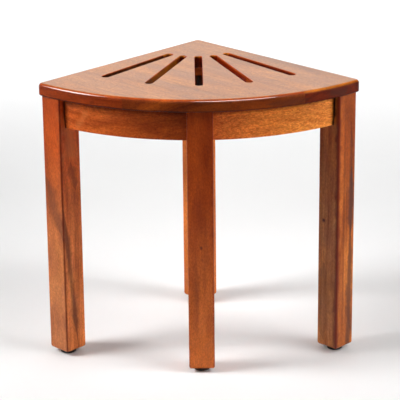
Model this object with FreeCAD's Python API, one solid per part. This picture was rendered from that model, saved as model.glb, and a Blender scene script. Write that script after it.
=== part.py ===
import FreeCAD, Part
import math
import os

# Corner shower bench: a quarter-round slotted seat on four square legs, in millimetres.
# X runs to the right and Y to the corner of the room, for someone who faces that corner, and Z up.
# The origin is on the floor, under the middle of the bench's bounding box.

# Seat
seat_radius = 360.0
seat_thickness = 20.0
seat_corner_round = 8.0
seat_top_round = 5.5
seat_bottom_round = 3.0

# Seat boards, edge-glued and counted from the right-hand wall, like the glue lines between them
board_names = ("right", "middle_right", "middle_left", "left")
seam_place_shares = (0.311, 0.605, 0.9)

# Drain slots, spread like a fan
slot_count = 5
slot_width = 12.0
slot_fan_offset = 40.0
slot_inner_reach = 69.0
slot_outer_reach = 240.0
slot_pitch_angle = 19.5
slot_edge_round = 1.2

# Legs
leg_width = 41.0
leg_length = 430.0
leg_edge_round = 2.5
leg_foot_round = 4.5
leg_wall_setback = 6.0
leg_end_setback = 4.0
front_leg_setback = 7.0

# Aprons
apron_height = 48.0
apron_thickness = 20.0
apron_edge_round = 2.0
front_apron_setback = 11.5
back_apron_setback = 2.0

# Corner blocks behind the legs that stand at the walls
block_thickness = 20.0
block_wing = 44.0
side_block_reach = 34.0
side_block_screw_share = 0.4

# Dowels in the joints between legs and aprons
dowel_diameter = 8.0
dowel_length = 35.0
dowel_depth_in_leg = 15.0
dowel_chamfer = 1.0
dowel_height_shares = (0.25, 0.75)

# Wood screws
screw_diameter = 4.5
screw_head_diameter = 8.5
screw_head_height = 3.0
screw_tip_length = 4.0
counterbore_diameter = 10.0
seat_screw_length = 35.0
seat_screw_grip = 22.0
seat_screw_place_shares = (0.25, 0.75)
block_screw_length = 22.0
block_screw_grip = 10.0

# Levelling feet
pad_diameter = 25.0
pad_height = 4.5
pad_top_bevel = 1.5
pad_sole_bevel = 0.5
spigot_diameter = 6.0
spigot_length = 2.5
collar_sides = 6
collar_across_flats = 13.0
collar_height = 2.0
collar_gap = 0.5
stud_diameter = 8.0
stud_length = 25.0
stud_chamfer = 1.0

# Threaded inserts in the legs
insert_diameter = 12.0
insert_length = 15.0
insert_ridge_depth = 0.6
insert_ridge_count = 5
stud_room_diameter = 9.5
stud_room_above = 4.0

# Clearances
running_clearance = 0.05
glue_clearance = 0.1
dowel_end_room = 1.0
screw_clearance = 0.15
curved_joint_gap = 0.3
overrun = 10.0

# Heights that follow from the sizes above
collar_top_z = pad_height + collar_height
leg_bottom_z = collar_top_z + collar_gap
seat_bottom_z = leg_bottom_z + leg_length
seat_top_z = seat_bottom_z + seat_thickness
apron_bottom_z = seat_bottom_z - apron_height
block_bottom_z = seat_bottom_z - block_thickness

# The corner of the room lies at the apex, behind the seat's rounded back corner
back_corner_loss = seat_corner_round * (math.sqrt(2) - 1)
apex = FreeCAD.Vector(0, (seat_radius + back_corner_loss) / 2, 0)

# Places along a wall from the apex, and inward from the wall
leg_room_face = leg_wall_setback + leg_width
side_leg_end = seat_radius - leg_end_setback
side_leg_start = side_leg_end - leg_width
back_apron_outer = leg_wall_setback + back_apron_setback
back_apron_inner = back_apron_outer + apron_thickness
back_apron_middle = (back_apron_outer + back_apron_inner) / 2

# Distances from the apex
front_leg_face = seat_radius - front_leg_setback
front_apron_outer = seat_radius - front_apron_setback
front_apron_inner = front_apron_outer - apron_thickness
front_apron_middle = (front_apron_outer + front_apron_inner) / 2
dowel_depth_in_apron = dowel_length - dowel_depth_in_leg

origin = FreeCAD.Vector(0, 0, 0)
up = FreeCAD.Vector(0, 0, 1)
down = FreeCAD.Vector(0, 0, -1)
to_right = FreeCAD.Vector(1, 0, 0)
to_left = FreeCAD.Vector(-1, 0, 0)
wall_turn = -135


# Drawing helpers

def on_left_wall(shape):
    """Place a shape drawn with X along the wall and Y inward at the left-hand wall."""
    placed = shape.copy()
    placed.rotate(origin, up, wall_turn)
    placed.translate(apex)
    return placed


def left_wall_direction(along, inward):
    return FreeCAD.Rotation(up, wall_turn).multVec(FreeCAD.Vector(along, inward, 0))


def left_wall_point(along, inward):
    return apex + left_wall_direction(along, inward)


def mirrored(shape):
    """The same shape on the other side of the bench's middle plane."""
    return shape.mirror(origin, to_right)


def with_mirror(shapes):
    return shapes + [mirrored(shape) for shape in shapes]


def block(x_low, x_high, y_low, y_high, z_low, z_high):
    corner = FreeCAD.Vector(x_low, y_low, z_low)
    return Part.makeBox(x_high - x_low, y_high - y_low, z_high - z_low, corner)


def prism(points, z_low, z_high):
    """An upright prism over a flat outline of (x, y) points."""
    corners = [FreeCAD.Vector(x, y, z_low) for x, y in points]
    outline = Part.makePolygon(corners + corners[:1])
    return Part.Face(outline).extrude(up * (z_high - z_low))


def rod(diameter, start, direction, length):
    return Part.makeCylinder(diameter / 2, length, start, direction)


def turned(points):
    """A solid of revolution about Z from an outline of (radius, z) points."""
    corners = [FreeCAD.Vector(radius, 0, z) for radius, z in points]
    outline = Part.makePolygon(corners + corners[:1])
    return Part.Face(outline).revolve(origin, up, 360)


def aimed(shape, place, direction):
    """Turn a shape drawn along +Z to a direction and move it to its place."""
    placed = shape.copy()
    placed.Placement = FreeCAD.Placement(place, FreeCAD.Rotation(up, direction))
    return placed


def is_upright(edge):
    box = edge.BoundBox
    return box.XLength < running_clearance and box.YLength < running_clearance


def is_curved(edge):
    return isinstance(edge.Curve, Part.Circle)


def lies_at(edge, z):
    box = edge.BoundBox
    return abs(box.ZMin - z) < running_clearance and abs(box.ZMax - z) < running_clearance


def offset_on_circle(radius, across):
    """How far along one axis a circle about the origin lies at a place across it."""
    return math.sqrt(radius ** 2 - across ** 2)


def save(name, solids):
    shape = solids[0] if len(solids) == 1 else Part.makeCompound(solids)
    shape.exportStep("parts/" + name + ".step")


# Seat

def seat_blank():
    """The quarter-round panel with its rounded corners and edges."""
    tip = seat_radius * math.sqrt(0.5)
    base = apex + up * seat_bottom_z
    left_tip = base + FreeCAD.Vector(-tip, -tip, 0)
    right_tip = base + FreeCAD.Vector(tip, -tip, 0)
    front = base + FreeCAD.Vector(0, -seat_radius, 0)
    outline = Part.Wire([
        Part.makeLine(base, right_tip),
        Part.Arc(right_tip, front, left_tip).toShape(),
        Part.makeLine(left_tip, base),
    ])
    panel = Part.Face(outline).extrude(up * seat_thickness)
    panel = panel.makeFillet(seat_corner_round, [e for e in panel.Edges if is_upright(e)])
    panel = panel.makeFillet(seat_top_round, [e for e in panel.Edges if lies_at(e, seat_top_z)])
    return panel.makeFillet(seat_bottom_round, [e for e in panel.Edges if lies_at(e, seat_bottom_z)])


def slot_ends(index):
    """The centres of a slot's two round ends. Slots are counted from the left."""
    angle = math.radians((index - (slot_count - 1) / 2) * slot_pitch_angle)
    direction = FreeCAD.Vector(math.sin(angle), -math.cos(angle), 0)
    fan_centre = apex - FreeCAD.Vector(0, slot_fan_offset, 0)
    inner = fan_centre + direction * (slot_inner_reach + slot_width / 2)
    outer = fan_centre + direction * (slot_outer_reach - slot_width / 2)
    return inner, outer


def slot_cutter(inner, outer):
    """A long hole with two round ends, through the seat."""
    forward = (outer - inner).normalize() * (slot_width / 2)
    aside = FreeCAD.Vector(-forward.y, forward.x, 0)
    low = up * (seat_bottom_z - overrun)
    outline = Part.Wire([
        Part.makeLine(inner + aside + low, outer + aside + low),
        Part.Arc(outer + aside + low, outer + forward + low, outer - aside + low).toShape(),
        Part.makeLine(outer - aside + low, inner - aside + low),
        Part.Arc(inner - aside + low, inner - forward + low, inner + aside + low).toShape(),
    ])
    return Part.Face(outline).extrude(up * (seat_thickness + 2 * overrun))


def slot_rims(panel, inner, outer):
    """The edges of one slot on the panel's two faces."""
    rims = []
    for z in (seat_bottom_z, seat_top_z):
        spine = Part.makeLine(inner + up * z, outer + up * z)
        level = [e for e in panel.Edges if lies_at(e, z)]
        rims.extend(e for e in level if e.distToShape(spine)[0] < slot_width)
    return rims


def seat_panel():
    """The panel with its slots cut and their rims eased."""
    slots = [slot_ends(index) for index in range(slot_count)]
    panel = seat_blank().cut([slot_cutter(inner, outer) for inner, outer in slots])
    rims = []
    for inner, outer in slots:
        rims.extend(slot_rims(panel, inner, outer))
    return panel.makeFillet(slot_edge_round, rims)


def seat_boards(panel):
    """Part the panel along its glue lines, from the right-hand wall to the left-hand tip."""
    seams = [share * seat_radius for share in seam_place_shares]
    starts = [-overrun] + seams
    ends = seams + [seat_radius + overrun]
    low = seat_bottom_z - overrun
    high = seat_top_z + overrun
    boards = []
    for start, end in zip(starts, ends):
        slab = on_left_wall(block(-overrun, seat_radius + overrun, start, end, low, high))
        boards.append(panel.common(mirrored(slab)))
    return boards


# Legs

def leg_post(x_low, y_low):
    """A square post with rounded edges and a lower end that is rounded more."""
    post = block(x_low, x_low + leg_width, y_low, y_low + leg_width, leg_bottom_z, seat_bottom_z)
    post = post.makeFillet(leg_foot_round, [e for e in post.Edges if lies_at(e, leg_bottom_z)])
    return post.makeFillet(leg_edge_round, [e for e in post.Edges if is_upright(e)])


def foot_bore(centre):
    """The hole for the threaded insert, with room for the stud above it."""
    wide_length = insert_length + glue_clearance + overrun
    wide = rod(insert_diameter + 2 * glue_clearance, centre + up * (leg_bottom_z - overrun), up, wide_length)
    room = rod(stud_room_diameter, centre + up * leg_bottom_z, up, stud_length + stud_room_above)
    return wide.fuse(room)


# Aprons

def back_apron():
    """The straight rail along the left-hand wall, from the back leg to the side leg."""
    rail = block(
        leg_room_face, side_leg_start, back_apron_outer, back_apron_inner, apron_bottom_z, seat_bottom_z
    )
    low = [e for e in rail.Edges if lies_at(e, apron_bottom_z) and e.BoundBox.YLength < running_clearance]
    return on_left_wall(rail.makeFillet(apron_edge_round, low))


def front_apron():
    """The curved rail from the left-hand leg to the front leg."""
    base = apex + up * apron_bottom_z
    ring = rod(2 * front_apron_outer, base, up, apron_height)
    ring = ring.cut(rod(2 * front_apron_inner, base, up, apron_height))
    beyond = seat_radius + overrun
    past_side_leg = block(0, beyond, leg_room_face, beyond, apron_bottom_z, seat_bottom_z)
    left_of_front_leg = block(-beyond, -leg_width / 2, -beyond, 0, apron_bottom_z, seat_bottom_z)
    rail = ring.common(on_left_wall(past_side_leg)).common(left_of_front_leg)
    low = [e for e in rail.Edges if lies_at(e, apron_bottom_z) and is_curved(e)]
    return rail.makeFillet(apron_edge_round, low)


# Corner blocks

def back_block():
    """The block that ties both back aprons together in front of the back leg."""
    wing_end = leg_room_face + block_wing
    outline = [
        (leg_room_face, back_apron_inner), (wing_end, back_apron_inner), (back_apron_inner, wing_end),
        (back_apron_inner, leg_room_face), (leg_room_face, leg_room_face)
    ]
    return on_left_wall(prism(outline, block_bottom_z, seat_bottom_z))


def side_block():
    """The block that ties the left-hand back apron to the curved apron."""
    outline = [
        (side_leg_start - block_wing, back_apron_inner), (side_leg_start, back_apron_inner),
        (side_leg_start, leg_room_face), (front_apron_inner, leg_room_face),
        (front_apron_inner, leg_room_face + side_block_reach)
    ]
    blank = prism(outline, block_bottom_z, seat_bottom_z)
    inside = rod(2 * (front_apron_inner - curved_joint_gap), up * block_bottom_z, up, block_thickness)
    return on_left_wall(blank.common(inside))


# Dowels, in pairs at each joint between a leg and an apron

def dowel():
    """A dowel along +Z. It crosses from the leg into the apron at Z = 0."""
    peg = rod(dowel_diameter, down * dowel_depth_in_leg, up, dowel_length)
    return peg.makeChamfer(dowel_chamfer, [e for e in peg.Edges if is_curved(e)])


def dowel_bore():
    start = down * (dowel_depth_in_leg + dowel_end_room)
    return rod(dowel_diameter + 2 * glue_clearance, start, up, dowel_length + 2 * dowel_end_room)


def at_joint(shape, joint):
    """One copy of a shape at each dowel of a joint."""
    place, direction = joint
    free_height = block_bottom_z - apron_bottom_z
    heights = [apron_bottom_z + share * free_height for share in dowel_height_shares]
    return [aimed(shape, place + up * height, direction) for height in heights]


def left_joints():
    """The joints of the left half: the place and direction in which their dowels leave the leg."""
    side_across = leg_room_face + dowel_depth_in_apron / 2
    side_along = offset_on_circle(front_apron_middle, side_across)
    front_across = (leg_width + dowel_depth_in_apron) / 2
    front_reach = offset_on_circle(front_apron_middle, front_across)
    return {
        "back": (left_wall_point(leg_room_face, back_apron_middle), left_wall_direction(1, 0)),
        "side_to_back": (left_wall_point(side_leg_start, back_apron_middle), left_wall_direction(-1, 0)),
        "side_to_front": (left_wall_point(side_along, leg_room_face), left_wall_direction(0, 1)),
        "front": (apex + FreeCAD.Vector(-leg_width / 2, -front_reach, 0), to_left),
    }


# Screws

def screw(length):
    """A round-head wood screw along +Z. The underside of its head is at Z = 0."""
    head = screw_head_diameter / 2
    shank = screw_diameter / 2
    return turned([
        (0, -screw_head_height), (head / 2, -screw_head_height), (head, -screw_head_height / 2),
        (head, 0), (shank, 0), (shank, length - screw_tip_length), (0, length)
    ])


def screw_bore(length, recess):
    """A counterbore below Z = 0 and a close hole above it."""
    wide = rod(counterbore_diameter, down * recess, up, recess)
    close = rod(screw_diameter + 2 * screw_clearance, origin, up, length + screw_clearance)
    return wide.fuse(close)


def left_seat_screw_places():
    """Where the screws that hold the left half of the seat stand in the aprons."""
    span = side_leg_start - leg_room_face
    places = [
        left_wall_point(leg_room_face + share * span, back_apron_middle)
        for share in seat_screw_place_shares
    ]
    start = math.pi / 4 - math.asin(leg_room_face / front_apron_middle)
    end = math.asin(leg_width / 2 / front_apron_middle)
    for share in seat_screw_place_shares:
        angle = start + share * (end - start)
        sweep = FreeCAD.Vector(-math.sin(angle), -math.cos(angle), 0)
        places.append(apex + sweep * front_apron_middle)
    return [(place + up * (seat_bottom_z - seat_screw_grip), up) for place in places]


def left_block_screw_places():
    """Where the heads of the left half's corner block screws rest, and which way they point."""
    height = up * ((block_bottom_z + seat_bottom_z) / 2)
    inward = back_apron_inner + block_screw_grip
    to_wall = left_wall_direction(0, -1)
    angle = math.asin((leg_room_face + side_block_screw_share * side_block_reach) / front_apron_inner)
    outward = left_wall_direction(math.cos(angle), math.sin(angle))
    return [
        (left_wall_point(leg_room_face + block_wing / 2, inward) + height, to_wall),
        (left_wall_point(side_leg_start - block_wing / 2, inward) + height, to_wall),
        (apex + outward * (front_apron_inner - block_screw_grip) + height, outward),
    ]


# Levelling feet

def foot_pad():
    """The round plastic pad, with a socket for the stud's spigot."""
    outer = pad_diameter / 2
    socket = spigot_diameter / 2 + running_clearance
    socket_floor = pad_height - spigot_length - running_clearance
    return turned([
        (0, 0), (outer - pad_sole_bevel, 0), (outer, pad_sole_bevel), (outer, pad_height - pad_top_bevel),
        (outer - pad_top_bevel, pad_height), (socket, pad_height), (socket, socket_floor), (0, socket_floor)
    ])


def foot_stud():
    """The threaded stud with its hexagonal collar and the spigot that turns in the pad."""
    spigot = spigot_diameter / 2
    shank = stud_diameter / 2
    top = collar_top_z + stud_length
    core = turned([
        (0, pad_height - spigot_length), (spigot, pad_height - spigot_length), (spigot, pad_height),
        (shank, pad_height), (shank, top - stud_chamfer), (shank - stud_chamfer, top), (0, top)
    ])
    step = 2 * math.pi / collar_sides
    corner = collar_across_flats / (2 * math.cos(step / 2))
    angles = [index * step for index in range(collar_sides)]
    hexagon = [(corner * math.cos(angle), corner * math.sin(angle)) for angle in angles]
    return core.fuse(prism(hexagon, pad_height, collar_top_z)).removeSplitter()


def foot_insert():
    """The metal sleeve in the leg's lower end, ringed on the outside so that it grips."""
    bore = stud_diameter / 2 + running_clearance
    crest = insert_diameter / 2
    root = crest - insert_ridge_depth
    pitch = insert_length / insert_ridge_count
    outline = [(bore, leg_bottom_z)]
    for index in range(insert_ridge_count):
        ridge_z = leg_bottom_z + index * pitch
        outline.append((root, ridge_z))
        outline.append((crest, ridge_z + pitch - insert_ridge_depth))
        outline.append((crest, ridge_z + pitch))
    outline.append((bore, leg_bottom_z + insert_length))
    return turned(outline)


def main():
    os.makedirs("parts", exist_ok=True)

    # Where each leg's foot stands
    leg_middle = leg_wall_setback + leg_width / 2
    left_foot = left_wall_point(side_leg_start + leg_width / 2, leg_middle)
    feet = {
        "back": left_wall_point(leg_middle, leg_middle),
        "left": left_foot,
        "right": FreeCAD.Vector(-left_foot.x, left_foot.y, 0),
        "front": apex + FreeCAD.Vector(0, leg_width / 2 - front_leg_face, 0),
    }

    # Everything that is drilled through the wood
    joints = left_joints()
    bores = []
    for joint in joints.values():
        bores.extend(at_joint(dowel_bore(), joint))
    seat_screw_bore = screw_bore(seat_screw_length, apron_height - seat_screw_grip + overrun)
    block_screw_bore = screw_bore(block_screw_length, block_wing)
    bores.extend(aimed(seat_screw_bore, *spot) for spot in left_seat_screw_places())
    bores.extend(aimed(block_screw_bore, *spot) for spot in left_block_screw_places())
    bores = with_mirror(bores) + [foot_bore(centre) for centre in feet.values()]

    # Seat boards
    for name, board in zip(board_names, seat_boards(seat_panel())):
        save("seat_board_" + name, [board.cut(bores)])

    # Legs
    left_leg = on_left_wall(leg_post(side_leg_start, leg_wall_setback))
    back_leg = on_left_wall(leg_post(leg_wall_setback, leg_wall_setback))
    front_leg = leg_post(-leg_width / 2, apex.y - front_leg_face)
    save("back_leg", [back_leg.cut(bores)])
    save("left_leg", [left_leg.cut(bores)])
    save("right_leg", [mirrored(left_leg).cut(bores)])
    save("front_leg", [front_leg.cut(bores)])

    # Aprons
    save("left_back_apron", [back_apron().cut(bores)])
    save("right_back_apron", [mirrored(back_apron()).cut(bores)])
    save("left_front_apron", [front_apron().cut(bores)])
    save("right_front_apron", [mirrored(front_apron()).cut(bores)])

    # Corner blocks
    save("back_corner_block", [back_block().cut(bores)])
    save("left_corner_block", [side_block().cut(bores)])
    save("right_corner_block", [mirrored(side_block()).cut(bores)])

    # Dowels
    side_dowels = at_joint(dowel(), joints["side_to_back"]) + at_joint(dowel(), joints["side_to_front"])
    save("back_leg_dowels", with_mirror(at_joint(dowel(), joints["back"])))
    save("left_leg_dowels", side_dowels)
    save("right_leg_dowels", [mirrored(peg) for peg in side_dowels])
    save("front_leg_dowels", with_mirror(at_joint(dowel(), joints["front"])))

    # Screws
    seat_screws = [aimed(screw(seat_screw_length), *spot) for spot in left_seat_screw_places()]
    block_screws = [aimed(screw(block_screw_length), *spot) for spot in left_block_screw_places()]
    save("seat_screws", with_mirror(seat_screws))
    save("corner_block_screws", with_mirror(block_screws))

    # Levelling feet
    for name, centre in feet.items():
        for piece, shape in (("pad", foot_pad()), ("stud", foot_stud()), ("insert", foot_insert())):
            shape.translate(centre)
            save(name + "_foot_" + piece, [shape])


main()
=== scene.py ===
import bmesh
import bpy
import math
from mathutils import Euler, Matrix, Vector


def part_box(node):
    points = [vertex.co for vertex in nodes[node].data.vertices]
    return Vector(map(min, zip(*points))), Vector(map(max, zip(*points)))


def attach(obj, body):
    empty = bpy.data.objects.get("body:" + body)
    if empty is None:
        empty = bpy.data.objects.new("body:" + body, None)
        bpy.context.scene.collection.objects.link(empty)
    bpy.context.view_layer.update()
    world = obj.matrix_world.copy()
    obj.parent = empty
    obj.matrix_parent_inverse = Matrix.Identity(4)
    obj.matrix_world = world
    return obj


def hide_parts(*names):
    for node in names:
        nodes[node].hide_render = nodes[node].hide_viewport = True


# The corner shower bench in oiled hardwood, on a plain pale floor in soft studio light.
# The CAD nodes get their materials here. The feet's studs and the wood screws are made here
# instead, with their thread and their recesses. Lengths are in metres, colours are linear.

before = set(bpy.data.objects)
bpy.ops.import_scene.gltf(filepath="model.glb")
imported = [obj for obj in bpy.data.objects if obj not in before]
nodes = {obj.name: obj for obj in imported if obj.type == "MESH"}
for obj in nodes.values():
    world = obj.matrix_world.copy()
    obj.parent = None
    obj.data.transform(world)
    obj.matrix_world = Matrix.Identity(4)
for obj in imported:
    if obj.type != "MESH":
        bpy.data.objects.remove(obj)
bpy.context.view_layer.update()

# The seat's back corner
seat_corner = Vector((0, 0.1817, 0.457))

# Which way the grain runs: rotations that bring it on to the texture's X axis
grain_of_seat = Euler((0, 0, math.radians(45)))
grain_of_legs = Euler((0, math.radians(90), 0))
grain_along_right_wall = Euler((0, 0, math.radians(45)))
grain_along_left_wall = Euler((0, 0, math.radians(-45)))
grain_of_left_curve = Euler((0, 0, math.radians(22.5)))
grain_of_right_curve = Euler((0, 0, math.radians(-22.5)))

# Wood: its rings wander and wobble about the pith, and carry broad zones and fine lines
pith_wander = 0.022
pith_wander_length = 0.35
ring_wobble = 0.005
zone_width = 0.012
line_width = 0.0022
line_share = 0.22
drift_along_grain = 5.0

# Wood: the width of each figure, and its scale along the grain as a share of its scale across it
figures = {
    "wobble": (0.05, 0.25),
    "cloud": (0.022, 0.25),
    "ribbon": (0.03, 0.20),
    "fibre": (0.0007, 0.03),
    "pore": (0.0005, 0.06),
    "mottle": (0.0022, 0.50),
    "fleck": (0.0022, 0.35),
    "smudge": (0.008, 0.10),
}

# The levels between which noise has its effect: for most figures, and for single ones
noise_levels = (0.3, 0.7)
fibre_levels = (0.25, 0.75)
rag_levels = (0.25, 0.75)
gloss_levels = (0.2, 0.8)
cloud_levels = (0.38, 0.66)
pore_levels = (0.60, 0.72)
curl_levels = (0.32, 0.68)
smudge_levels = (0.56, 0.74)
steel_gloss_levels = (0.7, 1.3)

# Wood: the light that its figures leave it
ribbon_light = (0.90, 1.10)
fibre_light = (0.92, 1.08)
mottle_light = (0.80, 1.20)
pore_light = 0.72
end_grain_light = 0.50

# Wood: streaks have ragged edges, and those much longer than wide have pointed ends
streak_rag_scale = (90, 90, 45)
streak_rag = (0.6, 1.6)
streak_core = 0.15
streak_point = 0.3
streak_point_width = 0.12
long_streak = 4

# Wood: its surface under the oil. The limits are for the upward part of a face's direction.
wood_roughness = (0.30, 0.42)
pore_roughness = 0.15
fibre_relief = 0.35
wood_relief = (0.00025, 0.35)
wood_specular = 0.1
coat_roughness = 0.05
upright_limits = (0.45, 0.85)
side_coat_limits = (-0.25, 0.0)
top_coat_limits = (0.05, 0.35)

# Wood: its colours are the middle tones. Darker tones are redder, by these powers of their level.
tone_places = (0.28, 0.42, 0.54, 0.70)
tone_steps = (-0.50, -0.14, 0.14, 0.50)
tone_powers = (1.0, 1.35, 1.5)
seat_wood = (0.470, 0.159, 0.028)
left_leg_wood = (0.410, 0.060, 0.007)
right_leg_wood = (0.335, 0.067, 0.007)
front_leg_wood = (0.340, 0.0475, 0.0047)
back_leg_wood = (0.560, 0.145, 0.020)
left_apron_wood = (0.590, 0.104, 0.015)
right_apron_wood = (0.640, 0.125, 0.022)
hidden_wood = (0.330, 0.070, 0.010)
dowel_wood = (0.600, 0.420, 0.230)
streak_tone = (0.060, 0.014, 0.007, 1)
ash_tone = (0.105, 0.034, 0.018, 1)
light_tone = (0.700, 0.190, 0.045, 1)
seat_shade = (0.110, 0.052, 0.024, 1)
# Painted shade: near black, for the gaps where aprons meet legs and under the seat
painted_shade_black = (0.004, 0.003, 0.003, 1)
# Painted shade along the legs' arrises
arris_painted_shade = (0.150, 0.018, 0.006, 1)
plum_tone = (0.070, 0.024, 0.018, 1)
brown_cast = (0.76, 0.70, 0.82, 1)
dark_curl = (0.62, 0.42, 0.30)
light_curl = (1.25, 1.55, 1.60)

# Metal and plastic: the scales of their figures, their tones, and the depth and strength of relief
steel_clouds = 300
steel_scratches = (4000, 4000, 900)
steel_tones = ((0.35, (0.52, 0.53, 0.54)), (0.65, (0.66, 0.65, 0.62)))
steel_roughness = (0.22, 0.42)
steel_relief = (0.00005, 0.4)
brass_tarnish = 260
brass_rings = (200, 200, 9000)
brass_tones = ((0.35, (0.36, 0.22, 0.08)), (0.65, (0.68, 0.47, 0.19)))
brass_roughness = (0.45, 0.28)
brass_relief = (0.00004, 0.4)
plastic_pits = 2600
plastic_dust = 140
plastic_tones = ((0.45, (0.012, 0.012, 0.013)), (0.75, (0.040, 0.037, 0.034)))
plastic_roughness = (0.48, 0.66)
plastic_relief = (0.00008, 0.5)

# The studs of the levelling feet. The edges of the thread's crest and root are shares of its pitch,
# from the crest's middle.
spigot_radius = 0.003
collar_bottom = 0.0045
collar_top = 0.0065
collar_sides = 6
collar_across_flats = 0.013
collar_chamfer = 0.0003
thread_pitch = 0.00125
thread_crest = 0.0040
thread_root = 0.00332
crest_edge = 1 / 16
root_edge = 3 / 8
stud_chamfer = 0.001
stud_steps = 48

# Wood screws: the outline of their head is (radius, distance from its top), and that of their
# recess is (reach, half width, depth)
screw_radius = 0.00225
screw_tip_length = 0.004
screw_tip_radius = 0.0001
screw_rim_height = 0.0005
screw_steps = 24
head_profile = (
    (0.0021, 0.0), (0.0031, 0.0005), (0.0038, 0.0010), (0.00425, 0.0018), (0.00425, 0.0030),
    (screw_radius, 0.0030),
)
recess_outlines = ((0.0019, 0.0005, 0.0), (0.0009, 0.00025, 0.0018))

# Meshes: corners this close are joined, and edges that bend by more than this angle stay sharp
weld_distance = 1e-5
sharp_angle = math.radians(30)

# Camera
camera_place = Vector((-0.0165, -3.088, 1.336))
camera_pitch = math.radians(19.66)
camera_yaw = math.radians(0.31)
camera_roll = math.radians(0.565)
camera_lens = 180

# Studio
floor_size = 40.0
floor_mottle = 3
floor_tones = ((0.3, (0.86, 0.86, 0.86)), (0.7, (0.88, 0.88, 0.88)))
floor_roughness = 0.75
room_brightness = 0.05
softboxes = (
    # name, place, target, width, height, brightness, spread of its grid in degrees,
    # whether it lights the bench and the floor, whether it is seen in gloss
    ("left", (-1.54, -0.32, 1.58), (-0.15, -0.10, 0.38), 0.85, 0.85, 30.0, 56, True, True),
    ("right", (1.26, -0.67, 1.86), (0.12, -0.10, 0.40), 0.90, 0.90, 13.0, 50, True, False),
    ("low", (2.30, -0.45, 0.70), (0.10, 0.00, 0.25), 1.10, 1.20, 13.0, 60, True, False),
    ("top", (0.65, 1.25, 2.60), (0.35, 1.15, 0.00), 1.20, 2.60, 3.5, 60, True, False),
    ("rim", (0.56, -1.18, 2.00), (0.255, -0.175, 0.457), 1.30, 0.55, 26.0, 120, False, True),
    ("back", (0.00, 2.90, 1.52), (0.00, 0.00, 0.45), 4.40, 1.50, 0.95, 180, True, True),
    ("floor", (-0.10, 2.20, 2.20), (-0.10, 2.20, 0.00), 2.80, 1.40, 6.0, 90, True, False),
    ("behind", (-0.10, 1.50, 2.20), (-0.10, 1.50, 0.00), 2.80, 1.40, 6.0, 40, True, False),
    ("far_floor", (0.00, 7.00, 3.00), (0.00, 7.00, 0.00), 20.0, 10.0, 16.0, 50, True, False),
    ("near_floor", (0.00, -8.00, 3.00), (0.00, -8.00, 0.00), 20.0, 9.60, 14.0, 50, True, False),
    ("left_floor", (-6.00, 0.00, 3.00), (-6.00, 0.00, 0.00), 8.00, 4.00, 16.0, 50, True, False),
    ("right_floor", (6.00, 0.00, 3.00), (6.00, 0.00, 0.00), 8.00, 4.00, 16.0, 50, True, False),
)


class Shader:
    """A material, with short ways to add nodes to it."""

    def __init__(self, name):
        self.material = bpy.data.materials.new(name)
        self.material.use_nodes = True
        self.tree = self.material.node_tree
        self.surface = self.tree.nodes["Principled BSDF"]

    def feed(self, socket, value):
        """Link a socket to an input, or set the input's value."""
        if isinstance(value, bpy.types.NodeSocket):
            self.tree.links.new(value, socket)
        else:
            socket.default_value = value

    def add(self, kind, inputs, output=0, **settings):
        """Add a node with these inputs and settings, and give one of its outputs."""
        node = self.tree.nodes.new("ShaderNode" + kind)
        for key, value in settings.items():
            setattr(node, key, value)
        for key, value in inputs.items():
            self.feed(node.inputs[key], value)
        return node.outputs[output]

    def finish(self, **inputs):
        """Feed the surface's inputs, named with _ for a space, and give the material."""
        for key, value in inputs.items():
            self.feed(self.surface.inputs[key.replace("_", " ")], value)
        return self.material

    def place(self):
        return self.add("TexCoord", {}, output="Object")

    def math(self, operation, first, second=0.0):
        return self.add("Math", {0: first, 1: second}, operation=operation)

    def vector_math(self, operation, first, second=(0, 0, 0), output=0):
        return self.add("VectorMath", {0: first, 1: second}, output=output, operation=operation)

    def vector(self, x, y, z):
        return self.add("CombineXYZ", {0: x, 1: y, 2: z})

    def split(self, vector):
        node = self.add("SeparateXYZ", {0: vector}).node
        return node.outputs[0], node.outputs[1], node.outputs[2]

    def stretched(self, vector, x, y, z):
        return self.vector_math("MULTIPLY", vector, (x, y, z))

    def scaled(self, vector, scale):
        return self.stretched(vector, scale, scale, scale)

    def along(self, place, start, end):
        """How far along the line from start to end a place is, from 0 to 1, and how far off it."""
        start = Vector(start)
        course = Vector(end) - start
        offset = self.vector_math("SUBTRACT", place, start)
        per_length = course / course.length_squared
        share = self.vector_math("DOT_PRODUCT", offset, per_length, output="Value")
        share = self.add("Clamp", {"Value": share})
        nearest = self.vector_math("MULTIPLY", self.vector(share, share, share), course)
        return share, self.vector_math("DISTANCE", offset, nearest, output="Value")

    def noise(self, vector, seed, detail=2.0, roughness=0.5, distortion=0.0, output="Fac"):
        """Noise with features about as large as one unit of the vector."""
        inputs = {
            "Vector": vector, "W": seed, "Scale": 1.0, "Detail": detail, "Roughness": roughness,
            "Distortion": distortion
        }
        return self.add("TexNoise", inputs, output=output, noise_dimensions="4D")

    def ranged(self, value, low, high, new_low=0.0, new_high=1.0):
        """Carry a value's range over to a new one, with soft ends."""
        inputs = {
            "Value": value, "From Min": low, "From Max": high, "To Min": new_low, "To Max": new_high
        }
        return self.add("MapRange", inputs, interpolation_type="SMOOTHSTEP")

    def blend(self, factor, first, second, mode="MIX"):
        inputs = {0: factor, 6: first, 7: second}
        return self.add("Mix", inputs, output=2, data_type="RGBA", blend_type=mode)

    def ramp(self, factor, stops):
        """A colour ramp over (place, colour) stops."""
        output = self.add("ValToRGB", {"Fac": factor})
        elements = output.node.color_ramp.elements
        for element, (place, _) in zip(elements, stops):
            element.position = place
        for place, _ in stops[len(elements):]:
            elements.new(place)
        for element, (_, colour) in zip(elements, stops):
            element.color = (*colour, 1)
        return output

    def scaled_colour(self, colour, factor):
        """A colour made lighter or darker by a factor."""
        grey = self.vector(factor, factor, factor)
        return self.blend(1.0, colour, grey, mode="MULTIPLY")

    def bump(self, height, distance, strength):
        inputs = {"Height": height, "Distance": distance, "Strength": strength}
        return self.add("Bump", inputs)


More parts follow.
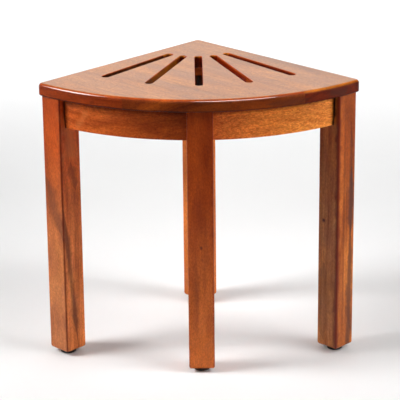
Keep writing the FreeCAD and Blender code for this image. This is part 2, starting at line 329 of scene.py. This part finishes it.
def add_object(name, data):
    """Make an object of its data, and link it to the scene."""
    made = bpy.data.objects.new(name, data)
    bpy.context.scene.collection.objects.link(made)
    return made


# Wood

def figure(shader, grain, kind, seed, **settings):
    """The noise of one kind of figure, drawn out along the grain."""
    width, share_along = figures[kind]
    drawn_out = shader.stretched(grain, share_along / width, 1 / width, 1 / width)
    return shader.noise(drawn_out, seed, **settings)


def ring_radius(shader, grain, pith, seed):
    """The distance from the tree's pith, which wanders along the grain, with a little wobble."""
    along, across, depth = shader.split(grain)
    course = shader.vector(shader.math("DIVIDE", along, pith_wander_length), 0.0, 0.0)
    wander = shader.noise(course, seed, output="Color")
    wander = shader.vector_math("SUBTRACT", wander, (0.5, 0.5, 0.5))
    _, aside, away = shader.split(shader.stretched(wander, 0, 2 * pith_wander, 2 * pith_wander))
    across = shader.math("ADD", shader.math("SUBTRACT", across, pith[0]), aside)
    depth = shader.math("ADD", shader.math("SUBTRACT", depth, pith[1]), away)
    radius = shader.vector_math("LENGTH", shader.vector(0.0, across, depth), output="Value")
    wobble = figure(shader, grain, "wobble", seed + 1)
    wobble = shader.math("MULTIPLY", shader.math("SUBTRACT", wobble, 0.5), 2 * ring_wobble)
    return shader.math("ADD", radius, wobble)


def streak_mask(shader, place, start, end, width, seed):
    """1 on a soft-edged streak between two points, falling to 0 at its width."""
    share, distance = shader.along(place, start, end)
    ragged = shader.noise(shader.stretched(place, *streak_rag_scale), seed, detail=3)
    distance = shader.math("MULTIPLY", distance, shader.ranged(ragged, *rag_levels, *streak_rag))
    if (Vector(end) - Vector(start)).length > long_streak * width:
        growing = shader.ranged(share, 0.0, streak_point, streak_point_width, 1.0)
        shrinking = shader.ranged(share, 1 - streak_point, 1.0, 1.0, streak_point_width)
        distance = shader.math("DIVIDE", distance, shader.math("MULTIPLY", growing, shrinking))
    return shader.ranged(distance, streak_core * width, width, 1.0, 0.0)


def tones_of(colour, contrast):
    """The stops of a wood's colour ramp, from dark to light."""
    stops = []
    for place, step in zip(tone_places, tone_steps):
        level = 1 + contrast * step
        stops.append((place, tuple(c * level ** power for c, power in zip(colour, tone_powers))))
    return stops


def wood(name, turn, pith, seed, colour, contrast=1.1, clouding=1.0, fleck=0.0, smudges=0.0,
         faces=(), fades=(), streaks=(), coat=0.2, side_coat=0.2, side_contrast=None):
    """Oiled hardwood. Its figure is solid, so end grain and faces belong together.

    turn brings the grain on to X, and pith is the rings' centre, as (y, z) in the turned frame.
    faces are (direction, low, high, colour factor), for faces that turn that way by low to high.
    fades are (start, end, colour factor), from 1 at the start to the factor at the end.
    streaks are (start, end, width, strength, tone).
    side_coat and side_contrast are for upright faces, where they differ.
    """
    shader = Shader(name)
    place = shader.place()
    grain = shader.add("Mapping", {"Vector": place, "Rotation": turn})
    along, _, _ = shader.split(grain)
    radius = ring_radius(shader, grain, pith, seed)

    # Broad heartwood zones and fine growth lines
    drift = shader.math("MULTIPLY", along, drift_along_grain)
    zones = shader.vector(shader.math("DIVIDE", radius, zone_width), drift, 0.0)
    zones = shader.noise(zones, seed + 2, detail=3, roughness=0.55)
    lines = shader.vector(shader.math("DIVIDE", radius, line_width), drift, 0.0)
    lines = shader.noise(lines, seed + 3, detail=3, roughness=0.6)
    zones = shader.math("MULTIPLY", zones, 1 - line_share)
    tone = shader.math("ADD", zones, shader.math("MULTIPLY", lines, line_share))
    normal = shader.add("TexCoord", {}, output="Normal")
    _, _, upwards = shader.split(normal)
    shades = shader.ramp(tone, tones_of(colour, contrast))
    if side_contrast:
        upright = shader.ranged(shader.math("ABSOLUTE", upwards), *upright_limits, 1.0, 0.0)
        side_shades = shader.ramp(tone, tones_of(colour, side_contrast))
        shades = shader.blend(upright, shades, side_shades)

    # Clouds of browner and redder wood
    clouds = shader.ranged(figure(shader, grain, "cloud", seed + 20, distortion=0.6), *cloud_levels)
    clouds = shader.math("MULTIPLY", clouds, clouding)
    colour = shader.blend(clouds, shades, brown_cast, mode="MULTIPLY")

    # Ribbons of changing fibre direction, fine fibres and pores
    ribbon = figure(shader, grain, "ribbon", seed + 4)
    fibre = figure(shader, grain, "fibre", seed + 5)
    pores = shader.ranged(figure(shader, grain, "pore", seed + 6), *pore_levels)
    light = shader.ranged(ribbon, *noise_levels, *ribbon_light)
    light = shader.math("MULTIPLY", light, shader.ranged(fibre, *fibre_levels, *fibre_light))
    light = shader.math("MULTIPLY", light, shader.ranged(pores, 0.0, 1.0, 1.0, pore_light))
    mottle = figure(shader, grain, "mottle", seed + 9, detail=3, roughness=0.65)
    light = shader.math("MULTIPLY", light, shader.ranged(mottle, *noise_levels, *mottle_light))
    if fleck:
        curls = figure(shader, grain, "fleck", seed + 7, distortion=1.2)
        curls = shader.ranged(curls, *curl_levels)
        curls = shader.ramp(curls, ((0.0, dark_curl), (1.0, light_curl)))
        colour = shader.blend(fleck, colour, curls, mode="MULTIPLY")
    if smudges:
        smudge = figure(shader, grain, "smudge", seed + 8, distortion=0.4)
        smudge = shader.ranged(smudge, *smudge_levels)
        light = shader.math("MULTIPLY", light, shader.ranged(smudge, 0.0, 1.0, 1.0, 1 - smudges))

    # End grain drinks more oil, so it is darker
    facing = shader.add("Mapping", {"Vector": normal, "Rotation": turn}, vector_type="NORMAL")
    facing, _, _ = shader.split(facing)
    end_grain = shader.math("MULTIPLY", facing, facing)
    light = shader.math("MULTIPLY", light, shader.ranged(end_grain, 0.0, 1.0, 1.0, end_grain_light))
    colour = shader.scaled_colour(colour, light)

    # What single faces and places show, painted light and shade among them
    for direction, low, high, factor in faces:
        towards = shader.vector_math("DOT_PRODUCT", normal, direction, output="Value")
        share = shader.ranged(towards, low, high)
        colour = shader.blend(share, colour, (*factor, 1), mode="MULTIPLY")
    for start, end, factor in fades:
        share, _ = shader.along(place, start, end)
        colour = shader.blend(share, colour, (*factor, 1), mode="MULTIPLY")
    for index, (start, end, width, strength, tone) in enumerate(streaks):
        mask = streak_mask(shader, place, start, end, width, seed + 10 + index)
        colour = shader.blend(shader.math("MULTIPLY", mask, strength), colour, tone)

    # Undersides have no coat of oil, upright faces have a thin one
    roughness = shader.ranged(ribbon, *gloss_levels, *wood_roughness)
    roughness = shader.math("ADD", roughness, shader.math("MULTIPLY", pores, pore_roughness))
    relief = shader.math("SUBTRACT", shader.math("MULTIPLY", fibre, fibre_relief), pores)
    thin_coat = shader.ranged(upwards, *side_coat_limits, 0.0, side_coat)
    more_coat = shader.ranged(upwards, *top_coat_limits, 0.0, coat - side_coat)
    return shader.finish(
        Base_Color=colour, Roughness=roughness, Normal=shader.bump(relief, *wood_relief),
        Specular_IOR_Level=wood_specular, Coat_Weight=shader.math("ADD", thin_coat, more_coat),
        Coat_Roughness=coat_roughness
    )


def dress(node, material):
    """Give a CAD node its material."""
    piece = nodes[node]
    if not piece.material_slots:
        piece.data.materials.append(material)
    for slot in piece.material_slots:
        slot.material = material


def dress_in_wood(node, turn, **settings):
    """Give a CAD node a wood of its own."""
    dress(node, wood(node, turn, **settings))


def dress_seat():
    """Four boards of one flitch, each with its own figure. Their edges are redder than the top.
    They carry painted shade on the lower round and in the slots, and a painted highlight on the
    right board's rim.
    """
    wall_edge = (grain_of_seat.to_matrix() @ seat_corner).y
    piths = {
        "right": (wall_edge - 0.075, 0.395),
        "middle_right": (wall_edge - 0.175, 0.505),
        "middle_left": (wall_edge - 0.235, 0.380),
        "left": (wall_edge - 0.330, 0.400),
    }

    # Colour factors for all but the flat top, and for all that lies below the rim
    side_tints = {
        "right": (1.00, 0.42, 0.24), "middle_right": (1.05, 0.45, 0.24),
        "middle_left": (1.05, 0.45, 0.24), "left": (1.05, 0.50, 0.28),
    }
    core_tints = {
        "right": (0.35, 0.128, 0.060), "middle_right": (0.70, 0.78, 0.50),
        "middle_left": (0.46, 0.49, 0.33), "left": (0.52, 0.39, 0.20),
    }

    # The right board's curved edge: golden wood, brightened by a painted highlight
    golden_edge_and_highlight = ((0.64, -0.77, 0), 0.15, 0.40, (1.28, 2.25, 1.25))
    seat_streaks = (
        ((0.0700, 0.0950, 0.4570), (0.2300, -0.0650, 0.4570), 0.030, 0.16, seat_shade),
        ((0.0350, 0.0650, 0.4570), (0.1350, -0.0350, 0.4570), 0.016, 0.22, seat_shade),
        ((-0.1500, -0.0150, 0.4570), (-0.0500, -0.1150, 0.4570), 0.010, 0.20, seat_shade),
        ((-0.0350, -0.0900, 0.4570), (0.0450, -0.1700, 0.4570), 0.008, 0.20, seat_shade),
        ((0.1020, -0.1638, 0.4450), (0.1740, -0.1334, 0.4450), 0.010, 0.55, streak_tone),
        ((0.2060, -0.1135, 0.4480), (0.2260, -0.0985, 0.4440), 0.010, 0.75, streak_tone),
    )

    # Painted light and shade on the slots' walls that face the front: darker walls, and one lit
    # golden
    left_slot_walls_painted_light_and_shade = [
        ((0.777, -0.629, 0), 0.97, 0.99, (0.38, 0.50, 0.75)),
        ((0.943, -0.334, 0), 0.97, 0.99, (1.25, 2.05, 1.90)),
    ]
    right_slot_wall_painted_shade = ((-0.777, -0.629, 0), 0.97, 0.99, (0.55, 0.50, 0.60))
    # Painted shade on the seat's lower round, under its edge
    lower_round_painted_shade = (0.40, 0.33, 0.30)
    underside_light = 0.85
    for index, (name, pith) in enumerate(piths.items()):
        # The core tint and the lower round's painted shade are for the edge, so the underside takes
        # them back
        edge_tints = zip(core_tints[name], lower_round_painted_shade)
        underside_tint = [underside_light / (core * low) for core, low in edge_tints]
        faces = [
            ((0, 0, -1), -0.995, -0.92, side_tints[name]),
            ((0, 0, -1), 0.10, 0.40, lower_round_painted_shade),
            ((0, 0, -1), 0.90, 0.99, underside_tint),
        ]
        rim, core, side_coat = (0, 0, 0.4563), (0, 0, 0.4540), 0.30
        if name == "right":
            faces.append(golden_edge_and_highlight)
            rim, core, side_coat = (0, 0, 0.4552), (0, 0, 0.4530), 0.12
        else:
            faces += left_slot_walls_painted_light_and_shade
        if name != "left":
            faces.append(right_slot_wall_painted_shade)
        dress_in_wood(
            "seat_board_" + name, grain_of_seat, pith=pith, seed=3.7 * index + 1.3,
            colour=seat_wood, contrast=0.40, side_contrast=1.3, clouding=0.45, smudges=0.20,
            faces=faces, fades=((rim, core, core_tints[name]),), streaks=seat_streaks,
            coat=0.8, side_coat=side_coat
        )


def dress_legs():
    """Four legs of different wood. Their lower parts are painted paler, partly paler wood and
    partly painted light from the floor. Their arrises, the gaps at the aprons and the back leg's
    top carry painted shade.
    """
    left_streaks_and_painted_shade = (
        ((-0.2480, -0.0738, 0.3100), (-0.2194, -0.1024, 0.2041), 0.021, 0.58, ash_tone),
        ((-0.2046, -0.0894, 0.3300), (-0.1980, -0.0828, 0.2811), 0.010, 0.45, streak_tone),
        ((-0.2185, -0.1033, 0.2700), (-0.2010, -0.0858, 0.0100), 0.009, 0.65, streak_tone),
        ((-0.2040, -0.0888, 0.4050), (-0.2040, -0.0888, 0.3450), 0.024, 0.52, light_tone),
        ((-0.2040, -0.0888, 0.2700), (-0.2040, -0.0888, 0.2000), 0.022, 0.16, streak_tone),
        # Painted shade down the front arris, and painted shadow in the gap beside the apron
        ((-0.2185, -0.1033, 0.6000), (-0.2185, -0.1033, -0.2000), 0.0045, 0.60, arris_painted_shade),
        ((-0.2105, -0.0953, 0.3870), (-0.2105, -0.0953, 0.4700), 0.0045, 0.75, painted_shade_black),
    )
    right_streaks_and_painted_shade = (
        ((0.2330, -0.0887, 0.3700), (0.2345, -0.0872, 0.0200), 0.0025, 0.30, streak_tone),
        ((0.2395, -0.0822, 0.3900), (0.2415, -0.0802, 0.2700), 0.006, 0.60, streak_tone),
        ((0.2412, -0.0805, 0.3150), (0.2403, -0.0814, 0.1950), 0.011, 0.85, plum_tone),
        ((0.2408, -0.0809, 0.2250), (0.2390, -0.0827, -0.0500), 0.011, 0.78, plum_tone),
        ((0.2290, -0.0927, 0.4200), (0.2290, -0.0927, 0.0000), 0.0040, 0.40, streak_tone),
        ((0.1981, -0.0829, 0.2255), (0.1981, -0.0810, 0.2255), 0.0068, 0.97, streak_tone),
        ((0.1981, -0.0829, 0.1500), (0.1981, -0.0829, 0.0200), 0.030, 0.38, streak_tone),
        # Painted shade down the front arris, and painted shadow in the gap beside the apron
        ((0.2185, -0.1033, 0.6000), (0.2185, -0.1033, -0.2000), 0.0090, 0.90, arris_painted_shade),
        ((0.2105, -0.0953, 0.3870), (0.2105, -0.0953, 0.4700), 0.0055, 0.92, painted_shade_black),
    )
    front_streaks_and_painted_shade = (
        ((-0.0040, -0.1713, 0.3400), (0.0010, -0.1713, 0.2000), 0.009, 0.14, streak_tone),
        ((0.0080, -0.1713, 0.2600), (0.0050, -0.1713, 0.1300), 0.007, 0.22, streak_tone),
        ((-0.0090, -0.1713, 0.2100), (-0.0060, -0.1713, 0.0900), 0.006, 0.20, streak_tone),
        ((0.0005, -0.1713, 0.2150), (0.0005, -0.1713, 0.2130), 0.0036, 0.70, streak_tone),
        ((0.0018, -0.1713, 0.1950), (0.0018, -0.1713, 0.1935), 0.0030, 0.35, streak_tone),
        # Painted shade down the front leg's arrises
        ((0.0203, -0.1711, 0.6000), (0.0203, -0.1711, -0.2000), 0.0034, 0.70, arris_painted_shade),
        ((-0.0203, -0.1711, 0.6000), (-0.0203, -0.1711, -0.2000), 0.0028, 0.45, arris_painted_shade),
    )
    # Painted black shade on the back leg's top, under the seat
    back_leg_painted_shade = (
        ((0, 0.1120, 0.3450), (0, 0.1120, 0.4400), 0.034, 0.97, painted_shade_black),
    )
    # Painted shade on the side legs' rounded arrises that turn to the front
    side_arris_painted_shade = ((0, -1, 0), 0.78, 0.92, (0.60, 0.45, 0.40))
    left_inner_side = ((0.707, -0.707, 0), 0.90, 0.98, (1.25, 1.12, 0.94))
    right_inner_side = ((-0.707, -0.707, 0), 0.90, 0.98, (1.05, 1.40, 2.50))
    # The lower parts are painted paler: partly paler wood, partly painted light from the floor
    upper, lower = (0, 0, 0.36), (0, 0, 0.18)
    front_upper, front_lower = (0, 0, 0.29), (0, 0, 0.08)
    dress_in_wood(
        "left_leg", grain_of_legs, pith=(-0.02, 0.165), seed=21.0, colour=left_leg_wood,
        contrast=1.4, faces=(side_arris_painted_shade, left_inner_side), fades=((upper, lower, (1.20, 2.45, 5.6)),),
        streaks=left_streaks_and_painted_shade
    )
    dress_in_wood(
        "right_leg", grain_of_legs, pith=(-0.13, -0.30), seed=34.0, colour=right_leg_wood,
        contrast=1.4, faces=(side_arris_painted_shade, right_inner_side), fades=((upper, lower, (1.26, 1.62, 2.4)),),
        streaks=right_streaks_and_painted_shade
    )
    dress_in_wood(
        "front_leg", grain_of_legs, pith=(-0.06, 0.03), seed=47.0, colour=front_leg_wood,
        contrast=0.6, fades=((front_upper, front_lower, (1.66, 2.65, 3.8)),), streaks=front_streaks_and_painted_shade
    )
    dress_in_wood(
        "back_leg", grain_of_legs, pith=(0.22, -0.04), seed=58.0, colour=back_leg_wood,
        streaks=back_leg_painted_shade
    )


def dress_aprons():
    """Curved front aprons, with the seat's shadow painted along their top and painted shadow in the
    gaps at the legs, and plain back aprons.
    """
    # Painted shadow of the seat along the aprons' top
    painted_seat_shadow = ((0, 0, 0.4290), (0, 0, 0.4350), (0.33, 0.26, 0.24))
    left_streaks_and_painted_shade = (
        ((-0.1700, -0.1190, 0.4300), (-0.1920, -0.1060, 0.3880), 0.011, 0.45, light_tone),
        # Painted shadow in the gap where the apron meets the leg
        ((-0.2105, -0.0953, 0.3500), (-0.2105, -0.0953, 0.4800), 0.0040, 0.80, painted_shade_black),
    )
    right_streaks_and_painted_shade = (
        # Painted shadow in the gap where the apron meets the leg
        ((0.2105, -0.0953, 0.3500), (0.2105, -0.0953, 0.4800), 0.0050, 0.92, painted_shade_black),
    )
    # Painted shade on the left apron towards the front leg
    left_painted_shade = ((-0.16, 0, 0), (-0.02, 0, 0), (0.49, 0.38, 0.18))
    right_fade = ((0.03, 0, 0), (0.16, 0, 0), (1.22, 1.85, 1.60))
    dress_in_wood(
        "left_front_apron", grain_of_left_curve, pith=(-0.09, 0.33), seed=63.0,
        colour=left_apron_wood, fleck=0.35, fades=(painted_seat_shadow, left_painted_shade), streaks=left_streaks_and_painted_shade
    )
    dress_in_wood(
        "right_front_apron", grain_of_right_curve, pith=(-0.09, 0.52), seed=74.0,
        colour=right_apron_wood, contrast=0.8, clouding=0.5, fleck=0.6,
        fades=(painted_seat_shadow, right_fade), streaks=right_streaks_and_painted_shade
    )
    dress_in_wood("left_back_apron", grain_along_left_wall, pith=(0.08, 0.36), seed=81.0,
                  colour=hidden_wood)
    dress_in_wood("right_back_apron", grain_along_right_wall, pith=(0.16, 0.47), seed=95.0,
                  colour=hidden_wood)


def dress_small_wood():
    """Corner blocks and dowels."""
    blocks = (
        ("back_corner_block", Euler(), (0.06, 0.38)),
        ("left_corner_block", grain_of_left_curve, (-0.05, 0.38)),
        ("right_corner_block", grain_of_right_curve, (-0.05, 0.39)),
    )
    for index, (name, turn, pith) in enumerate(blocks):
        dress_in_wood(name, turn, pith=pith, seed=101.0 + 12 * index, colour=hidden_wood)
    dowel_turns = {
        "back": grain_along_left_wall, "left": grain_along_left_wall,
        "right": grain_along_right_wall, "front": Euler(),
    }
    for index, (name, turn) in enumerate(dowel_turns.items()):
        dress_in_wood(name + "_leg_dowels", turn, pith=(0.0, 0.5), seed=131.0 + index,
                      colour=dowel_wood)


# Metal and plastic

def plated_steel(name):
    """Zinc-plated steel: cloudy gloss with a faint warm and cool cast."""
    shader = Shader(name)
    place = shader.place()
    clouds = shader.noise(shader.scaled(place, steel_clouds), seed=2.0, detail=4)
    scratches = shader.noise(shader.stretched(place, *steel_scratches), seed=3.0)
    unevenness = shader.math("ADD", clouds, scratches)
    return shader.finish(
        Base_Color=shader.ramp(clouds, steel_tones),
        Roughness=shader.ranged(unevenness, *steel_gloss_levels, *steel_roughness),
        Normal=shader.bump(scratches, *steel_relief), Metallic=1.0
    )


def brass(name):
    """Turned brass with fine rings and a little tarnish."""
    shader = Shader(name)
    place = shader.place()
    tarnish = shader.noise(shader.scaled(place, brass_tarnish), seed=7.0, detail=5)
    rings = shader.noise(shader.stretched(place, *brass_rings), seed=8.0)
    return shader.finish(
        Base_Color=shader.ramp(tarnish, brass_tones),
        Roughness=shader.ranged(tarnish, *noise_levels, *brass_roughness),
        Normal=shader.bump(rings, *brass_relief), Metallic=1.0
    )


def black_plastic(name):
    """Moulded black plastic with a fine spark-eroded texture and a trace of dust."""
    shader = Shader(name)
    place = shader.place()
    pits = shader.noise(shader.scaled(place, plastic_pits), seed=9.0, detail=3)
    dust = shader.noise(shader.scaled(place, plastic_dust), seed=10.0, detail=5, roughness=0.7)
    return shader.finish(
        Base_Color=shader.ramp(dust, plastic_tones),
        Roughness=shader.ranged(dust, *noise_levels, *plastic_roughness),
        Normal=shader.bump(pits, *plastic_relief)
    )


# Studs and screws

def on_circle(centre, radius, z, step, steps):
    """A point on a level circle about an upright axis, a number of its steps round."""
    angle = 2 * math.pi * step / steps
    return centre + Vector((radius * math.cos(angle), radius * math.sin(angle), z))


def ring(centre, radius, z, steps):
    """All the points of such a circle."""
    return [on_circle(centre, radius, z, step, steps) for step in range(steps)]


def bridge(shape, rings):
    """Join rings that have as many points as each other, and give their rows of corners."""
    rows = [[shape.verts.new(point) for point in points] for points in rings]
    for lower, upper in zip(rows, rows[1:]):
        for index in range(len(lower)):
            after = (index + 1) % len(lower)
            shape.faces.new((lower[index], lower[after], upper[after], upper[index]))
    return rows


def fill_between(shape, outer, inner):
    """Fill the flat face between two loops of corners."""
    edges = []
    for loop in (outer, inner):
        edges += [shape.edges.get((corner, loop[index - 1])) for index, corner in enumerate(loop)]
    bmesh.ops.triangle_fill(shape, edges=edges, use_beauty=True)


def thread_radius(climb):
    """The thread's radius, this many pitches above the middle of its crest."""
    off_crest = min(climb % 1.0, 1 - climb % 1.0)
    slope = (off_crest - crest_edge) / (root_edge - crest_edge)
    return thread_crest + (thread_root - thread_crest) * min(max(slope, 0.0), 1.0)


def add_thread(shape, centre, bottom, top):
    """A right-hand thread about an upright axis, chamfered at its top and open at its bottom.

    Its rows of points climb with it. Gives the corners of its bottom.
    """
    edges = (-crest_edge, crest_edge, root_edge, 1 - root_edge)
    turns = math.ceil((top - bottom) / thread_pitch) + 1
    points = {}

    def point(row, step):
        row += len(edges) * (step // stud_steps)
        step %= stud_steps
        turn, edge = divmod(row, len(edges))
        z = bottom + (turn - 1 + edges[edge] + step / stud_steps) * thread_pitch
        z = min(max(z, bottom), top)
        if (step, z) not in points:
            radius = thread_radius((z - bottom) / thread_pitch - step / stud_steps)
            radius = min(radius, thread_crest - stud_chamfer + top - z)
            points[step, z] = shape.verts.new(on_circle(centre, radius, z, step, stud_steps))
        return points[step, z]

    for row in range(len(edges) * (turns + 1)):
        for step in range(stud_steps):
            around = ((row, step), (row, step + 1), (row + 1, step + 1), (row + 1, step))
            corners = list(dict.fromkeys(point(*place) for place in around))
            if len(corners) > 2:
                shape.faces.new(corners)
    shape.faces.new([points[step, top] for step in range(stud_steps)])
    return [points[step, bottom] for step in range(stud_steps)]


def add_piece(name, shape, material, body, node):
    """Make an object of a shape, in place of a CAD node."""
    bmesh.ops.recalc_face_normals(shape, faces=shape.faces)
    mesh = bpy.data.meshes.new(name)
    shape.to_mesh(mesh)
    shape.free()
    mesh.shade_smooth()
    mesh.set_sharp_from_angle(angle=sharp_angle)
    mesh.materials.append(material)
    piece = add_object(name, mesh)
    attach(piece, body)
    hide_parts(node)


def add_stud(name, steel):
    """A foot's stud: the spigot that turns in the pad, the hexagonal collar and the thread."""
    low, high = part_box(name + "_foot_stud")
    centre = Vector(((low.x + high.x) / 2, (low.y + high.y) / 2, 0))
    shape = bmesh.new()
    spigot_rings = [ring(centre, spigot_radius, z, stud_steps) for z in (low.z, collar_bottom)]
    spigot = bridge(shape, spigot_rings)
    shape.faces.new(spigot[0])
    corner = collar_across_flats / (2 * math.cos(math.pi / collar_sides))
    collar = bridge(shape, [
        ring(centre, corner - collar_chamfer, collar_bottom, collar_sides),
        ring(centre, corner, collar_bottom + collar_chamfer, collar_sides),
        ring(centre, corner, collar_top - collar_chamfer, collar_sides),
        ring(centre, corner - collar_chamfer, collar_top, collar_sides),
    ])
    thread_bottom = add_thread(shape, centre, collar_top, high.z)
    fill_between(shape, collar[0], spigot[-1])
    fill_between(shape, collar[-1], thread_bottom)
    add_piece(name + "_threaded_stud", shape, steel, name + "_stud",
              name + "_foot_stud")


def screw_lines(node):
    """The middle of each screw's head and its tip, from a CAD node that holds several screws."""
    shape = bmesh.new()
    shape.from_mesh(nodes[node].data)
    bmesh.ops.remove_doubles(shape, verts=shape.verts, dist=weld_distance)

    # The corners that edges join make one screw, and its tip lies farthest from their mean
    waiting = set(shape.verts)
    lines = []
    while waiting:
        corners, front = [], [waiting.pop()]
        while front:
            corner = front.pop()
            corners.append(corner.co.copy())
            near = {edge.other_vert(corner) for edge in corner.link_edges} & waiting
            waiting -= near
            front.extend(near)
        corners.sort(key=tuple)
        middle = sum(corners, Vector()) / len(corners)
        tip = max(corners, key=lambda corner: (corner - middle).length)
        reach = max((corner - tip).length for corner in corners)
        rim = [corner for corner in corners if (corner - tip).length > reach - screw_rim_height]
        lines.append((sum(rim, Vector()) / len(rim), tip))
    shape.free()
    return sorted(lines, key=lambda line: tuple(line[1]))


def placed(rings, place, turn):
    """Rings of points, turned and moved to their place."""
    return [[place + turn @ point for point in points] for points in rings]


def cross(reach, half_width, z):
    """The outline of a cross-shaped drive recess."""
    points = []
    for quarter in range(4):
        turn = Matrix.Rotation(quarter * math.pi / 2, 3, "Z")
        for x, y in ((reach, -half_width), (reach, half_width), (half_width, half_width)):
            points.append(turn @ Vector((x, y, z)))
    return points


def add_screws(name, steel, node):
    """Round-head screws with a cross recess, along the lines of the CAD node's screws."""
    shape = bmesh.new()
    for head, tip in screw_lines(node):
        length = (tip - head).length
        turn = (tip - head).to_track_quat("Z", "Y").to_matrix()
        end_profile = ((screw_radius, length - screw_tip_length), (screw_tip_radius, length))
        profile = head_profile + end_profile
        rings = [ring(Vector(), radius, z, screw_steps) for radius, z in profile]
        rows = bridge(shape, placed(rings, head, turn))
        shape.faces.new(rows[-1])
        outlines = [cross(*outline) for outline in recess_outlines]
        recess = bridge(shape, placed(outlines, head, turn))
        shape.faces.new(recess[-1])
        fill_between(shape, rows[0], recess[0])
    add_piece(name, shape, steel, "bench", node)


def dress_fittings():
    """Screws, and the feet's studs, inserts and pads."""
    steel = plated_steel("zinc_plate")
    add_screws("seat_round_head_screws", steel, "seat_screws")
    add_screws("block_round_head_screws", steel, "corner_block_screws")
    turned_brass = brass("turned_brass")
    plastic = black_plastic("moulded_black")
    for name in ("back", "left", "right", "front"):
        add_stud(name, steel)
        dress(name + "_foot_insert", turned_brass)
        dress(name + "_foot_pad", plastic)


# Studio

def add_floor():
    """A large pale floor, which isn't part of the bench."""
    mesh = bpy.data.meshes.new("floor")
    half = floor_size / 2
    corners = [(-half, -half, 0), (half, -half, 0), (half, half, 0), (-half, half, 0)]
    mesh.from_pydata(corners, [], [(0, 1, 2, 3)])
    floor = add_object("floor", mesh)
    shader = Shader("floor_paint")
    mottle = shader.noise(shader.scaled(shader.place(), floor_mottle), seed=11.0)
    colour = shader.ramp(mottle, floor_tones)
    mesh.materials.append(shader.finish(Base_Color=colour, Roughness=floor_roughness))


def add_softbox(name, place, target, width, height, brightness, spread, lights, in_gloss):
    """A rectangular lamp of even brightness, aimed at a point. A grid narrows its spread."""
    half_spread = math.radians(spread) / 2
    kept = 1 - half_spread / math.tan(half_spread)
    data = bpy.data.lights.new(name, "AREA")
    data.shape = "RECTANGLE"
    data.size = width
    data.size_y = height
    data.spread = 2 * half_spread
    data.energy = math.pi * width * height * brightness * kept
    lamp = add_object(name, data)
    lamp.location = place
    direction = Vector(target) - Vector(place)
    lamp.rotation_euler = direction.to_track_quat("-Z", "Y").to_euler()
    lamp.visible_camera = False
    lamp.visible_diffuse = lights
    lamp.visible_glossy = in_gloss


def add_lights():
    """The softboxes, in a faintly lit room."""
    world = bpy.data.worlds.new("studio")
    world.use_nodes = True
    background = world.node_tree.nodes["Background"]
    background.inputs["Color"].default_value = (1, 1, 1, 1)
    background.inputs["Strength"].default_value = room_brightness
    bpy.context.scene.world = world
    for name, *settings in softboxes:
        add_softbox(name + "_softbox", *settings)


def add_camera():
    """A camera at the photograph's angle."""
    data = bpy.data.cameras.new("camera")
    data.lens = camera_lens
    data.clip_end = 2 * floor_size
    camera = add_object("camera", data)
    yaw = Matrix.Rotation(-camera_yaw, 4, "Z")
    pitch = Matrix.Rotation(math.pi / 2 - camera_pitch, 4, "X")
    roll = Matrix.Rotation(-camera_roll, 4, "Z")
    camera.matrix_world = Matrix.Translation(camera_place) @ (yaw @ pitch) @ roll
    bpy.context.scene.camera = camera


add_camera()
dress_seat()
dress_legs()
dress_aprons()
dress_small_wood()
dress_fittings()
add_floor()
add_lights()
bpy.context.scene.view_settings.view_transform = "Standard"
